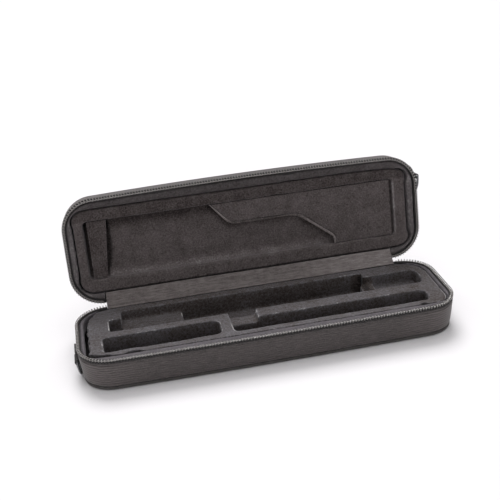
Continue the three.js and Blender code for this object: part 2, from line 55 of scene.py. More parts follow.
RIM_LENGTH, RIM_WIDTH, RIM_RADIUS = 414.2, 117.6, 33.5
BASE_HEIGHT, LID_DEPTH, CLOSED_GAP = 39.0, 28.5, 0.5
BASE_DRAFT, LID_DRAFT = 0.0875, 0.05
SEAM_DEPTH, RIM_TO_FABRIC = 4.5, 3.0
PIPING_RADIUS = 2.1
HINGE_HALF = 173.0
HINGE_Y, HINGE_Z, OPEN_ANGLE = 63.7, 37.5, 99.7
FRONT_BOW, LID_FRONT_BOW = 1.7, 2.7
LID_RIM_Z = BASE_HEIGHT + CLOSED_GAP

# A point of the closed lid, its rim at height 0, to where it is with the lid open
LID_POSE = (
    Matrix.Translation((0, HINGE_Y, HINGE_Z))
    @ Matrix.Rotation(math.radians(-OPEN_ANGLE), 4, "X")
    @ Matrix.Translation((0, -HINGE_Y, LID_RIM_Z - HINGE_Z))
)
# The base's pieces are drawn by depth below the rim, so their heights are turned over
BASE_POSE = Matrix.Translation((0, 0, BASE_HEIGHT)) @ Matrix.Diagonal((1, 1, -1, 1))


# ---- Material helpers

def linear(colour):
    """An sRGB hex colour as linear red, green, blue and alpha."""
    values = [int(colour[i:i + 2], 16) / 255 for i in (0, 2, 4)]
    return [v / 12.92 if v <= 0.04045 else ((v + 0.055) / 1.055) ** 2.4 for v in values] + [1]


def add(tree, kind, sockets=None, **settings):
    """Adds a shader node with its settings, and its sockets' values or links."""
    made = tree.nodes.new("ShaderNode" + kind)
    for name, value in settings.items():
        setattr(made, name, value)
    for name, value in (sockets or {}).items():
        socket = made.inputs[name]
        if isinstance(value, bpy.types.NodeSocket):
            tree.links.new(value, socket)
        else:
            socket.default_value = value
    return made


def times(tree, value, factor, plus=None):
    """A value times a factor, with another value added where one is given."""
    if plus is None:
        return add(tree, "Math", {0: value, 1: factor}, operation="MULTIPLY").outputs[0]
    return add(tree, "Math", {0: value, 1: factor, 2: plus}, operation="MULTIPLY_ADD").outputs[0]


def new_material(name, surface):
    """A material whose Principled shader has the given fixed values."""
    made = bpy.data.materials.new(name)
    made.use_nodes = True
    tree = made.node_tree
    shader = tree.nodes["Principled BSDF"]
    for socket, value in surface.items():
        shader.inputs[socket].default_value = value
    return made, tree, shader


def tinted(tree, factor, low, high):
    """A colour that runs from low to high with a factor."""
    ramp = add(tree, "ValToRGB", {"Fac": factor})
    ramp.color_ramp.elements[0].color = linear(low)
    ramp.color_ramp.elements[1].color = linear(high)
    return ramp


def coloured(tree, shader, colour, height, strength, depth):
    """Gives the shader its colour, and the relief of a height over a depth in millimetres."""
    bump = add(tree, "Bump", {"Height": height, "Strength": strength, "Distance": depth * MM})
    tree.links.new(colour.outputs["Color"], shader.inputs["Base Color"])
    tree.links.new(bump.outputs["Normal"], shader.inputs["Normal"])


def woven(name, dark, light, pitch, rib, depth, sheen, roughness):
    """Woven cloth on a UV map in millimetres: a plain weave whose threads wander, with thicker crosswise
    ribs that show where it is pulled round the ends of the case, and slubs that run along them."""
    made, tree, shader = new_material(name, {
        "Roughness": roughness, "Sheen Weight": sheen, "Sheen Roughness": 0.4,
        "Specular IOR Level": 0.35,
    })
    place = add(tree, "UVMap", uv_map="cloth").outputs["UV"]
    wander = add(tree, "TexNoise", {"Vector": place, "Scale": 0.22, "Detail": 2.0})
    drift = add(tree, "VectorMath", {0: wander.outputs["Color"], "Scale": 1.6 * pitch}, operation="SCALE")
    laid = add(tree, "VectorMath", {0: place, 1: drift.outputs[0]}, operation="ADD")
    axes = add(tree, "SeparateXYZ", {"Vector": laid.outputs[0]})
    along = times(tree, axes.outputs["X"], math.pi / pitch)
    across = times(tree, axes.outputs["Y"], math.pi / rib)
    warp = add(tree, "Math", {0: along}, operation="SINE").outputs[0]
    weft = add(tree, "Math", {0: across}, operation="SINE").outputs[0]

    spot = add(tree, "TexCoord")
    ends = add(tree, "SeparateXYZ", {"Vector": spot.outputs["Object"]})
    far = add(tree, "Math", {0: ends.outputs["X"]}, operation="ABSOLUTE")
    pulled = add(tree, "MapRange", {
        "Value": far.outputs[0], "From Min": 130 * MM, "From Max": 205 * MM,
        "To Min": 0.2, "To Max": 1.15,
    })
    ribs = times(tree, times(tree, weft, weft), pulled.outputs[0])
    weave = times(tree, times(tree, warp, weft), 0.06, plus=ribs)

    run = add(tree, "Mapping", {"Vector": place, "Scale": (0.12, 1.1, 1.0)})
    slubs = add(tree, "TexNoise", {
        "Vector": run.outputs[0], "Scale": 0.8, "Detail": 3.0, "Roughness": 0.65,
    })
    fibre = add(tree, "TexNoise", {"Vector": place, "Scale": 0.62, "Detail": 2.0, "Roughness": 0.6})
    rough = times(tree, slubs.outputs["Fac"], 1.3, plus=fibre.outputs["Fac"])
    height = times(tree, rough, 1.5, plus=weave)
    shade = add(tree, "MapRange", {"Value": height, "From Min": 1.25, "From Max": 2.75})
    coloured(tree, shader, tinted(tree, shade.outputs[0], dark, light), height, 0.8, depth)
    return made


def piled(name, dark, light, clump, fine, depth, sheen, painted_highlight="a5a1a2", nap=1.0):
    """Pile cloth: fibre tips at a fine size over clumps of pile brushed together, sizes in millimetres.
    A value on the mesh paints light and shade into the pile: painted highlights on edges and folds, and
    painted shade in hollows, creases and slots. A nap under 1 draws the clumps out along the length."""
    made, tree, shader = new_material(name, {
        "Roughness": 0.95, "Sheen Weight": sheen, "Sheen Roughness": 0.35, "Specular IOR Level": 0.15,
        "Sheen Tint": linear("d6d2d6"),
    })
    place = add(tree, "TexCoord").outputs["Object"]
    combed = add(tree, "Mapping", {"Vector": place, "Scale": (nap, 1.0, 1.0)})
    tips = add(tree, "TexNoise", {
        "Vector": place, "Scale": 1 / (fine * MM), "Detail": 2.0, "Roughness": 0.6,
    })
    clumps = add(tree, "TexNoise", {
        "Vector": combed.outputs[0], "Scale": 1 / (clump * MM), "Detail": 3.0, "Roughness": 0.55,
        "Distortion": 0.4,
    })
    brushed = add(tree, "TexNoise", {"Vector": place, "Scale": 1 / (clump * 9 * MM), "Detail": 2.0})
    mixed = times(tree, clumps.outputs["Fac"], 0.9, plus=tips.outputs["Fac"])
    toned = times(tree, brushed.outputs["Fac"], 0.4, plus=mixed)
    # The tone stays between the dark and the light stop, and the painted light and shade move it past
    # either
    dark_stop, light_stop = 0.3, 0.7
    shade = add(tree, "MapRange", {
        "Value": toned, "From Min": 0.88, "From Max": 1.42, "To Min": dark_stop, "To Max": light_stop,
    })
    wear_and_painted_light = add(tree, "Attribute", attribute_name="wear_and_painted_light")
    total = times(tree, wear_and_painted_light.outputs["Fac"], 0.8, plus=shade.outputs[0])
    # From near black for painted shade up to a pale stop for painted highlights
    colour = tinted(tree, total, "0b0a0a", painted_highlight)
    colour.color_ramp.elements.new(dark_stop).color = linear(dark)
    colour.color_ramp.elements.new(light_stop).color = linear(light)
    coloured(tree, shader, colour, mixed, 0.9, depth)
    return made


def scuffed(name, colour, worn_and_painted_light, roughness, surface):
    """A hard surface whose gloss and tone break up a little with handling."""
    made, tree, shader = new_material(name, surface)
    place = add(tree, "TexCoord").outputs["Object"]
    wear_and_painted_light = add(tree, "TexNoise", {"Vector": place, "Scale": 1 / (2.5 * MM), "Detail": 4.0}).outputs["Fac"]
    gloss = add(tree, "MapRange", {"Value": wear_and_painted_light, "To Min": roughness[0], "To Max": roughness[1]})
    tree.links.new(gloss.outputs[0], shader.inputs["Roughness"])
    coloured(tree, shader, tinted(tree, wear_and_painted_light, colour, worn_and_painted_light), wear_and_painted_light, 0.15, 0.05)
    return made


# Woven nylon: matt, with ribs about 3 mm apart that show as fine lines where it is pulled round the ends
NYLON = woven("woven_nylon", "2f2b2b", "686160", 1.3, 3.1, 0.3, 0.25, 0.7)
# The same nylon laid flat on the two panels, its ribs too fine to show from a step away
PANEL_NYLON = woven("panel_nylon", "2f2b2b", "686160", 1.3, 1.5, 0.3, 0.25, 0.7)
# Rolled piping of the same nylon, its weave pulled tighter
PIPING = woven("piping_nylon", "343130", "545150", 0.9, 1.0, 0.15, 0.2, 0.75)
# Zip tape: fine woven polyester with close ribs along it
TAPE = woven("polyester_zip_tape", "121111", "242222", 0.7, 0.9, 0.12, 0.05, 0.85)
# Webbing: coarse woven polypropylene, its ribs about 2 mm apart
WEBBING = woven("polypropylene_webbing", "1d1c1c", "3d3a3a", 1.6, 2.0, 0.35, 0.1, 0.75)
# Velvet: short even pile that lights up at grazing angles
VELVET = piled("cotton_velvet", "403d40", "666165", 2.2, 0.7, 0.35, 0.3)
# The lid's velvet: the same cloth, warmer and a little darker, the darker tone being painted shade
SHADED_LID_VELVET = piled("lid_velvet_painted_shade", "403c3c", "625d5e", 2.2, 0.7, 0.35, 0.3)
# Plush in the base: brushed pile over moulded foam, grey, with a near-white stop for painted highlights on
# its edges
PLUSH = piled("brushed_plush", "423b38", "666468", 2.6, 1.1, 0.7, 0.4, painted_highlight="d8d4d2")
# Plush in the lid: the same pile, browner and in smaller clumps
LID_PLUSH = piled("lid_plush", "3b3534", "676060", 1.6, 1.1, 0.8, 0.3)
# Binding: lighter pile tape folded over the pocket's edge
BINDING = piled("binding_tape", "4f4948", "827a79", 1.8, 0.7, 0.3, 0.4)
# The strip over the hinge: pile cloth stretched flat, its nap combed along it
HINGE_PILE = piled("hinge_pile", "504a49", "7d7675", 1.0, 0.6, 0.3, 0.4, nap=0.12)
# Moulded EVA foam board, closed-cell and matt
FOAM = piled("moulded_foam", "2a2929", "3a3838", 1.8, 0.6, 0.2, 0.1)
# Nylon monofilament coil: smooth, so each turn throws a small highlight
COIL = scuffed("nylon_coil", "75716f", "9d9794", (0.2, 0.3), {
    "IOR": 2.0, "Coat Weight": 1.0, "Coat Roughness": 0.12,
})
# Sewing thread: glossy polyester filament
THREAD = scuffed("polyester_thread", "423f3e", "5f5b5a", (0.45, 0.6), {"Sheen Weight": 0.3})
# Black nickel plate on zinc: dark and half glossy, lighter where it rubs
BLACK_NICKEL = scuffed("black_nickel_plate", "58585a", "858587", (0.22, 0.38), {"Metallic": 1.0})


# ---- The two halves

BASE = SimpleNamespace(
    name="base", pose=BASE_POSE, depth=BASE_HEIGHT, draft=BASE_DRAFT, bow=FRONT_BOW,
    panel="base_bottom_panel", velvet=VELVET, coil_offset=0)
# The lid's turns of coil lie between the base's when the case is shut
LID = SimpleNamespace(
    name="lid", pose=LID_POSE, depth=LID_DEPTH, draft=LID_DRAFT, bow=LID_FRONT_BOW,
    panel="lid_top_panel", velvet=SHADED_LID_VELVET, coil_offset=0.5)


# ---- Shape helpers

def outline(length, width, radius):
    """A rounded rectangle that sections are swept round."""
    return {"x": length / 2 - radius, "y": width / 2 - radius, "radius": radius}


RIM = outline(RIM_LENGTH, RIM_WIDTH, RIM_RADIUS)


def fabric_face(half, depth):
    """How far the fabric's outer face stands outside the rim at a depth below it."""
    return RIM_TO_FABRIC - half.draft * max(depth - SEAM_DEPTH, 0)


def eased(value, start, end):
    """0 up to the start, 1 from the end on."""
    return min(max((value - start) / (end - start), 0), 1)


def forward(point, half):
    """How far a point near the front moves, where the long edge bows outward between the corners."""
    bow_start, bow_full, bow_half_length = 51, 57, 175
    near = eased(-point[1], bow_start, bow_full)
    return -half.bow * near * max(1 - (point[0] / bow_half_length) ** 2, 0)


def bowed(bm, half):
    """Bows the long front side outward."""
    for vert in bm.verts:
        vert.co.y += forward(vert.co, half)


def refine(bm, span):
    """Cuts long edges into stretches of about a span, so a straight side can bow and crease."""
    for direction in (0, 1, 2):
        groups = {}
        for edge in bm.edges:
            reach = edge.verts[1].co - edge.verts[0].co
            cuts = round(reach.length / span) - 1
            if cuts > 0 and abs(reach[direction]) > 0.8 * reach.length:
                groups.setdefault(cuts, []).append(edge)
        for cuts, edges in groups.items():
            bmesh.ops.subdivide_edges(bm, edges=edges, cuts=cuts, use_grid_fill=True)


def swept(around, section, closed=True, quarter=12, span=8):
    """A section of [outside, height] points swept round a rounded rectangle."""
    bm = bmesh.new()
    steps = 4 * quarter
    turn = Matrix.Rotation(math.pi / steps, 4, "Z")
    verts = [bm.verts.new(turn @ Vector((around["radius"] + out, 0, height))) for out, height in section]
    pairs = list(zip(verts, verts[1:])) + ([(verts[-1], verts[0])] if closed else [])
    edges = [bm.edges.new(pair) for pair in pairs]
    bmesh.ops.spin(
        bm, geom=verts + edges, cent=(0, 0, 0), axis=(0, 0, 1), angle=2 * math.pi, steps=steps,
        use_merge=True,
    )
    quarters = {}
    for vert in bm.verts:
        quarters.setdefault((vert.co.x > 0, vert.co.y > 0), []).append(vert)
    for (right, back), members in quarters.items():
        shift = (around["x"] if right else -around["x"], around["y"] if back else -around["y"], 0)
        bmesh.ops.translate(bm, verts=members, vec=shift)
    refine(bm, span)
    return bm


def unrolled(bm, around):
    """Lays a UV map, in millimetres, round the outline and up the section."""
    layer = bm.loops.layers.uv.new("cloth")
    quarter = around["x"] + around["y"] + around["radius"] * math.pi / 2
    for face in bm.faces:
        places = []
        for loop in face.loops:
            x, y = loop.vert.co.x, loop.vert.co.y
            past_x, past_y = max(abs(x) - around["x"], 0), max(abs(y) - around["y"], 0)
            run = min(abs(y), around["y"]) + around["x"] - min(abs(x), around["x"])
            run += around["radius"] * math.atan2(past_y, past_x)
            if y >= 0:
                place = quarter - run if x < 0 else 3 * quarter + run
            else:
                place = quarter + run if x < 0 else 3 * quarter - run
            out = math.hypot(past_x, past_y)
            places.append([place, loop.vert.co.z - out])
        # A face across the seam in the map goes to the far end of it
        if max(p[0] for p in places) - min(p[0] for p in places) > 2 * quarter:
            for p in places:
                p[0] += 4 * quarter if p[0] < 2 * quarter else 0
        for loop, p in zip(face.loops, places):
            loop[layer].uv = p


def laid_flat(bm, across=(1, 0, 0), up=(0, 1, 0)):
    """Lays a UV map, in millimetres, straight onto a flat piece."""
    layer = bm.loops.layers.uv.new("cloth")
    across, up = Vector(across), Vector(up)
    for face in bm.faces:
        for loop in face.loops:
            loop[layer].uv = (loop.vert.co.dot(across), loop.vert.co.dot(up))


def new_object(bm, name):
    """Turns a mesh into an object in the scene."""
    mesh = bpy.data.meshes.new(name)
    bm.to_mesh(mesh)
    bm.free()
    made = bpy.data.objects.new(name, mesh)
    bpy.context.scene.collection.objects.link(made)
    return made


def piece(bm, name, body, material, node, pose, smooth=True):
    """Turns a mesh in a half's own millimetres into a finished piece that rides on a body."""
    bmesh.ops.transform(bm, matrix=pose, verts=bm.verts)
    bmesh.ops.scale(bm, vec=(MM, MM, MM), verts=bm.verts)
    bmesh.ops.recalc_face_normals(bm, faces=bm.faces)
    return dressed(new_object(bm, name), body, material, [node], smooth)


def dressed(made, body, material, nodes=(), smooth=True):
    """Gives a piece its material, its body and the solids that it stands for."""
    made.data.materials.clear()
    made.data.materials.append(material)
    for polygon in made.data.polygons:
        polygon.use_smooth = smooth
    if body:
        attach(made, body)
    if nodes:
        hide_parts(*nodes)
    return made


def applied(made):
    """Applies a piece's modifiers."""
    depsgraph = bpy.context.evaluated_depsgraph_get()
    mesh = bpy.data.meshes.new_from_object(made.evaluated_get(depsgraph))
    made.modifiers.clear()
    made.data = mesh


def wire(name, runs, radius, sides=0, cyclic=False):
    """A mesh tube along each run of points, in millimetres. Sides is Blender's bevel resolution."""
    curve = bpy.data.curves.new(name, "CURVE")
    curve.dimensions = "3D"
    curve.bevel_depth = radius * MM
    curve.bevel_resolution = sides
    curve.use_fill_caps = True
    for run in runs:
        spline = curve.splines.new("POLY")
        spline.points.add(len(run) - 1)
        for point, place in zip(spline.points, run):
            point.co = (*(Vector(place) * MM), 1)
        spline.use_cyclic_u = cyclic
    drawn = bpy.data.objects.new(name + "_path", curve)
    bpy.context.scene.collection.objects.link(drawn)
    tube = bpy.data.meshes.new_from_object(drawn.evaluated_get(bpy.context.evaluated_depsgraph_get()))
    bpy.data.objects.remove(drawn)
    bm = bmesh.new()
    bm.from_mesh(tube)
    bpy.data.meshes.remove(tube)
    bmesh.ops.recalc_face_normals(bm, faces=bm.faces)
    return new_object(bm, name)


def copied(name, *nodes):
    """A merged copy of one or more solids, as a new object."""
    bm = bmesh.new()
    for node in nodes:
        bm.from_mesh(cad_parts[node].data)
    bmesh.ops.remove_doubles(bm, verts=bm.verts, dist=1e-6)
    return new_object(bm, name)


def softened(made, voxel, rounds, lumps=((0.35, 22), (0.12, 3.5)), painted_edge_highlight=0.5):
    """Remeshes a solid, rounds its edges as pile cloth over foam does, and gives it soft lumps.
    Lumps are (height, size) pairs in millimetres. The last argument sets how light the pile is painted on
    its edges, a painted highlight."""
    remesh = made.modifiers.new("remesh", "REMESH")
    remesh.mode = "VOXEL"
    remesh.voxel_size = voxel * MM
    applied(made)
    bm = bmesh.new()
    bm.from_mesh(made.data)
    for _ in range(rounds):
        bmesh.ops.smooth_vert(
            bm, verts=bm.verts, factor=0.5, use_axis_x=True, use_axis_y=True, use_axis_z=True)
    bm.normal_update()
    worn_and_painted_light = bm.verts.layers.float.new("wear_and_painted_light")
    moves = []
    # From what fall to the points around it, in voxels, a point lies on an edge, and how soon fully
    edge_fall, edge_gain, patch_size = 0.03, 13, 9
    for vert in bm.verts:
        near = [edge.other_vert(vert).co for edge in vert.link_edges]
        fall = -(sum(near, Vector()) / len(near) - vert.co).dot(vert.normal) / (voxel * MM)
        edge_share = min(max((fall - edge_fall) * edge_gain, 0), 1)
        patch = min(max(0.7 + 1.2 * noise.noise(vert.co / (patch_size * MM)), 0), 1)
        # Painted highlight: the pile is painted lightest on edges that face right, as if lit from there,
        # less so on those that face left
        side = 0.22 + 0.78 * max(vert.normal.x, -0.4 * vert.normal.x)
        vert[worn_and_painted_light] = edge_share * patch * side * painted_edge_highlight
        rise = sum(height * noise.noise(vert.co / (size * MM)) for height, size in lumps)
        moves.append(vert.normal * rise * MM)
    for vert, move in zip(bm.verts, moves):
        vert.co += move
    bm.to_mesh(made.data)
    bm.free()
    return made


def painted_light_points(made):
    """Each point of a mesh with its value of painted light and shade."""
    return zip(made.data.vertices, made.data.attributes["wear_and_painted_light"].data)


def reshaped(made, pose, change):
    """Moves every point of a mesh, given to the change function in a half's own millimetres."""
    back = pose.inverted()
    for vert in made.data.vertices:
        vert.co = (pose @ change(back @ (vert.co / MM))) * MM


# ---- The way round the rim, from one end of the hinge to the other

ARC = RIM_RADIUS * math.pi / 2
TRACK = [ARC, 2 * RIM["y"], ARC, 2 * RIM["x"], ARC, 2 * RIM["y"], ARC]
TRACK_LENGTH = sum(TRACK)


def on_rim(run, out, depth, half):
    """The point at a run along the rim, a distance outside it and a depth below it."""
    corners = [(-RIM["x"], RIM["y"]), (-RIM["x"], -RIM["y"]), (RIM["x"], -RIM["y"]), (RIM["x"], RIM["y"])]
    reach = RIM_RADIUS + out
    for i, length in enumerate(TRACK):
        if run <= length or i == len(TRACK) - 1:
            break
        run -= length
    centre = Vector((*corners[i // 2], depth))
    if i % 2 == 0:
        turn = math.pi / 2 * (1 + i / 2) + run / RIM_RADIUS
        place = centre + reach * Vector((math.cos(turn), math.sin(turn), 0))
    else:
        turn = math.pi / 2 * (1 + (i + 1) / 2)
        across = Vector((math.cos(turn), math.sin(turn), 0))
        ahead = Vector((-math.sin(turn), math.cos(turn), 0))
        place = centre + across * reach + ahead * run
    place.y += forward(place, half)
    return place


def past_rim(place):
    """The way out through the rim at a place, and how far outside the rim it lies."""
    past = Vector((max(abs(place.x) - RIM["x"], 0), max(abs(place.y) - RIM["y"], 0), 0))
    return past, past.length - RIM_RADIUS


def by_ring(place, half):
    """Presses a place at the lid's end in where the lid's ring hangs against it."""
    if half is LID:
        press = 0.65
        beside = eased(place.y, -47, -41) * (1 - eased(place.y, -12, -7))
        place.x -= press * eased(place.x, 204, 206) * beside
    return place


def lid_ends(place):
    """Draws the line between the lid's collar and frame in at both ends and at the top's right, where the
    padding is fuller."""
    right_depth, left_depth, top_depth = 5.2, 3.2, 3.2
    past, out = past_rim(place)
    if out > -20:
        along, across = (abs(v) / past.length for v in past.xy)
        depth = (right_depth if place.x > 0 else left_depth) * along ** 2
        if place.y < 0:
            depth += top_depth * across ** 2 * eased(place.x, 110, 190) ** 2
        depth *= 1 - eased(out, -6, -0.5) if out > -6 else eased(out, -20, -6)
        place.x -= math.copysign(depth * past.x / past.length, place.x)
        place.y -= math.copysign(depth * past.y / past.length, place.y)
    return place


def to_coil(place, half):
    """Draws the collar's outer edge out and down to the coil, and bows it with the long front side."""
    outward, downward = 1.0, 1.9
    past, out = past_rim(place)
    if half is LID:
        place = lid_ends(place)
    if past.length > 0 and not (abs(place.x) < HINGE_HALF and place.y > 0):
        share = eased(out, -4, -1.4) * eased(7 - place.z, 0, 3)
        move = past.normalized() * outward * share
        down = downward * share ** 2
        place += Vector((math.copysign(move.x, place.x), math.copysign(move.y, place.y), down))
    place.y += forward(place, half)
    return place


# ---- The layers that both halves share

def piping_centre(half):
    """How far outside the rim and how far below it the piping's cord runs."""
    inset = 0.3
    return fabric_face(half, half.depth) + inset - PIPING_RADIUS, half.depth - inset - PIPING_RADIUS


def side_cloth(half):
    """The side cover: folded under at the zip, pulled in along the seam, full in the middle and tucked into
    the groove above the piping."""
    groove = piping_centre(half)[1] - PIPING_RADIUS - 0.2
    seam_face = fabric_face(half, SEAM_DEPTH)
    fold = [[seam_face + out, SEAM_DEPTH + down] for out, down in (
        (-0.9, 0.35), (-0.5, 0.0), (0.05, 0.05), (0.3, 0.45), (0.25, 0.85))]
    wall = [[fabric_face(half, down) + out, down] for down, out in (
        (SEAM_DEPTH + 1.4, -0.1), (SEAM_DEPTH + 1.9, -0.55), (SEAM_DEPTH + 2.5, 0.1),
        (SEAM_DEPTH + 4, 0.3), ((SEAM_DEPTH + groove) / 2, 0.35), (groove - 3, 0.25),
        (groove - 0.8, -0.1), (groove, -1.0))]
    inner = [[fabric_face(half, groove) - 1.6, groove + 0.2], [seam_face - 0.9, SEAM_DEPTH + 1.6]]
    cover = swept(RIM, fold + wall + inner, span=6)
    bowed(cover, half)
    unrolled(cover, RIM)
    lump_height, lump_length, lump_rise, aspect = 0.22, 24, 9, 3.4
    for vert in cover.verts:
        x, y, down = vert.co
        if SEAM_DEPTH + 1 < down < groove - 1:
            spot = Vector((x / lump_length, y / lump_length, down / lump_rise))
            lump = noise.noise(spot + Vector((half.depth, 0, 0)))
            vert.co += Vector((x / aspect, y, 0)).normalized() * lump * lump_height
        vert.co = by_ring(vert.co, half)
    made = piece(
        cover, half.name + "_side_cloth", half.name, NYLON, half.name + "_side_cover",
        half.pose)


def piping_roll(half):
    """The piping: a cord in folded cloth."""
    centre, down = piping_centre(half)
    turns = [i * math.pi / 8 for i in range(16)]
    roll = [[centre + PIPING_RADIUS * math.cos(a), down + PIPING_RADIUS * math.sin(a)] for a in turns]
    piping = swept(RIM, roll)
    bowed(piping, half)
    unrolled(piping, RIM)
    piece(
        piping, half.name + "_piping_roll", half.name, PIPING, half.name + "_piping",
        half.pose)


def panel_cloth(half):
    """The panel: stretched flat inside the piping, its edge rolled in. Its flat size has 1 mm turned in all
    round."""
    edge = piping_centre(half)[0] - PIPING_RADIUS - 0.1
    section = [[edge - inside, half.depth - up] for inside, up in (
        (0, 1.1), (0, 0.5), (0.4, 0.1), (1.2, 0), (6, 0), (16, 0))]
    cap = swept(RIM, section, closed=False)
    bmesh.ops.holes_fill(cap, edges=[e for e in cap.edges if e.is_boundary], sides=0)
    laid_flat(cap)
    made = piece(
        cap, half.name + "_panel_cloth", half.name, PANEL_NYLON, half.panel, half.pose,
        smooth=False)
    # All is smooth but the flat middle, which is one face with many sides
    for polygon in made.data.polygons:
        polygon.use_smooth = len(polygon.vertices) < 5


def without_hinge(bm):
    """Cuts the stretch behind the hinge out of a ring and closes the two ends."""
    for x in (-HINGE_HALF, HINGE_HALF):
        geometry = bm.verts[:] + bm.edges[:] + bm.faces[:]
        bmesh.ops.bisect_plane(bm, geom=geometry, dist=1e-4, plane_co=(x, 0, 0), plane_no=(1, 0, 0))
    middles = [(face, face.calc_center_median()) for face in bm.faces]
    gone = [face for face, middle in middles if middle.y > 20 and abs(middle.x) < HINGE_HALF]
    bmesh.ops.delete(bm, geom=gone, context="FACES")
    bmesh.ops.holes_fill(bm, edges=[edge for edge in bm.edges if edge.is_boundary], sides=0)


def zip_tape(half):
    """The zip tape, folded over the edge of the foam."""
    strip = swept(RIM, [
        [2.95, 4.6], [3.1, 3.4], [3.15, 2.6], [2.6, 2.1], [0.3, 2.1], [0.3, 2.4], [2.2, 2.45], [2.6, 3.0],
        [2.4, 4.6]])
    bowed(strip, half)
    unrolled(strip, RIM)
    without_hinge(strip)
    piece(strip, half.name + "_tape", half.name, TAPE, half.name + "_zip_tape", half.pose)


def coil(half):
    """The zip's coil: one unbroken filament wound round the edge of the tape."""
    pitch, steps, width, height, filament = 3.2, 12, 1.6, 1.15, 0.5
    start, out, depth = 0.5, 1.8, 1.1
    points = []
    for i in range(int((TRACK_LENGTH - 2 * start) / pitch - half.coil_offset) * steps):
        # Each turn stands square to the edge, from its top round the outside, and moves on below the tape
        turn, share = divmod(i / steps, 1)
        angle = 2 * math.pi * share
        run = start + pitch * (half.coil_offset + turn + eased(share, 0.5, 0.75))
        place = on_rim(run, out + width * math.sin(angle), depth - height * math.cos(angle), half)
        points.append(half.pose @ place)
    made = wire(half.name + "_coil", [points], filament, 1)
    dressed(made, half.name, COIL, [half.name + "_zip_teeth"])


# A stitch as shares of its length, with how far it stands off the cloth: both ends dip into it
STITCH = ((0, -0.3), (0.2, 0.05), (0.5, 0.12), (0.8, 0.05), (1, -0.3))


def stitches(half, row, out, depth):
    """A row of stitches along the rim."""
    pitch, length, start, thread = 3.0, 1.7, 0.8, 0.26
    runs = []
    for i in range(int((TRACK_LENGTH - pitch) / pitch)):
        places = [on_rim(start + i * pitch + length * share, out + lift, depth, half)
                  for share, lift in STITCH]
        runs.append([half.pose @ by_ring(place, half) for place in places])
    dressed(wire(f"{half.name}_{row}_stitches", runs, thread), half.name, THREAD)


def collar(half):
    """A padded roll of velvet between the coil and the insert, tucked in beside the insert."""
    node = half.name + "_inner_band"
    made = softened(copied(half.name + "_collar", node), 1.2, 5)
    reshaped(made, half.pose, lambda place: to_coil(place, half))
    back = half.pose.inverted()
    for vert, worn_and_painted_light in painted_light_points(made):
        place = back @ (vert.co / MM)
        place.y -= forward(place, half)
        # Painted shade in the crease along the collar's outer edge, beside the coil
        worn_and_painted_light.value -= 0.6 * eased(past_rim(place)[1], -2.6, -1.0)
        # On the lid, painted light on the collar towards both ends and painted shade along its top
        if half is LID:
            worn_and_painted_light.value += 0.12 * eased(abs(place.x), 180, 192) - 0.1 * eased(-place.y, 40, 48)
    dressed(made, half.name, half.velvet, [node])


for half in (BASE, LID):
    side_cloth(half)
    stitches(half, "seam", fabric_face(half, SEAM_DEPTH) - 0.3, SEAM_DEPTH + 1.9)
    piping_roll(half)
    panel_cloth(half)
    zip_tape(half)
    coil(half)
    stitches(half, "tape", 3.12, 3.5)
    collar(half)

# ---- Plush insert in the base

INSERT_BELOW_TOP = 34.5
KEY_STEP_END = 137
# Dents in the insert's front edge: middle, reach and depth
DENTS = ((-197, 24, 5.4), (-151, 9, 3.6), (171, 4, 3.2))


def insert_edges(place):
    """Draws the insert in from the collar where the cloth was pulled over its edge, and draws the back
    corner of the deep channel's right end out to the right."""
    drawn_in, raggedness = 3.9, 1.9
    ragged = 1.7 * noise.noise(Vector((3.1, place.y / 4.5, place.z / 12)))
    ragged += 1.0 * noise.noise(Vector((7.7, place.y / 1.8, 0)))
    place.x += eased(-place.x, 186, 196) * (drawn_in + raggedness * ragged)
    front = eased(-place.y, 39, 46)
    corner_x, corner_reach, corner_shift = 121, 4, 6
    near = math.exp(-((place.x - corner_x) / corner_reach) ** 2)
    place.x += corner_shift * near * eased(place.y, 30, 38)
    for middle, reach, depth in DENTS:
        place.y += front * depth * math.exp(-((place.x - middle) / reach) ** 4)
    return place


# The insert's edges get a strong painted highlight
insert = softened(copied("base_plush_insert", "base_insert"), 1.2, 5, ((0.5, 26), (0.22, 4.0)), 1.25)
reshaped(insert, BASE_POSE, insert_edges)
for vert, worn_and_painted_light in painted_light_points(insert):
    x, y, z = vert.co / MM
    # Painted shade: the pile is darker down in the pockets, most of all on their right ends, which face
    # left
    worn_and_painted_light.value -= eased(-z, -35.3, -30.3) * (0.08 + 0.3 * max(-vert.normal.x - 0.3, 0))
    if z < INSERT_BELOW_TOP:
        # Painted shade on the deep channel's end wall and the key step to its right, and painted light on
        # what follows
        if y < 48:
            behind = eased(y, 1, 2)
            worn_and_painted_light.value -= 0.27 * eased(x, 113, 120) * (1 - eased(x, 128, 132)) * behind
            worn_and_painted_light.value -= 0.12 * eased(x, 122, 124) * (1 - eased(x, 137, 140)) * behind * eased(z, 24, 26)
        if x > KEY_STEP_END:
            worn_and_painted_light.value += 0.1
    # The ragged left edge keeps little of the painted edge highlight, and the back strip and the right end
    # get painted shade
    if x < -188:
        worn_and_painted_light.value *= 0.3
    if y > 45 and x > -165:
        worn_and_painted_light.value -= 0.12 * (1 - eased(x, 80, 110))
    worn_and_painted_light.value -= 0.1 * eased(x, 140, 170)
dressed(insert, "base", PLUSH, ["base_insert"])

# ---- Lid: the frame and the recess under one cloth, the strap, the pocket and its binding

# The pocket's free edge as [x, y] corners, in the lid's own millimetres
POCKET_EDGE = [(-41, -35.2), (-19, -8.2), (62, -8.2), (105, 25.5), (105, 33.5)]
# The recess's right edge, where the pocket is folded over
RECESS_FOLD = 181.5


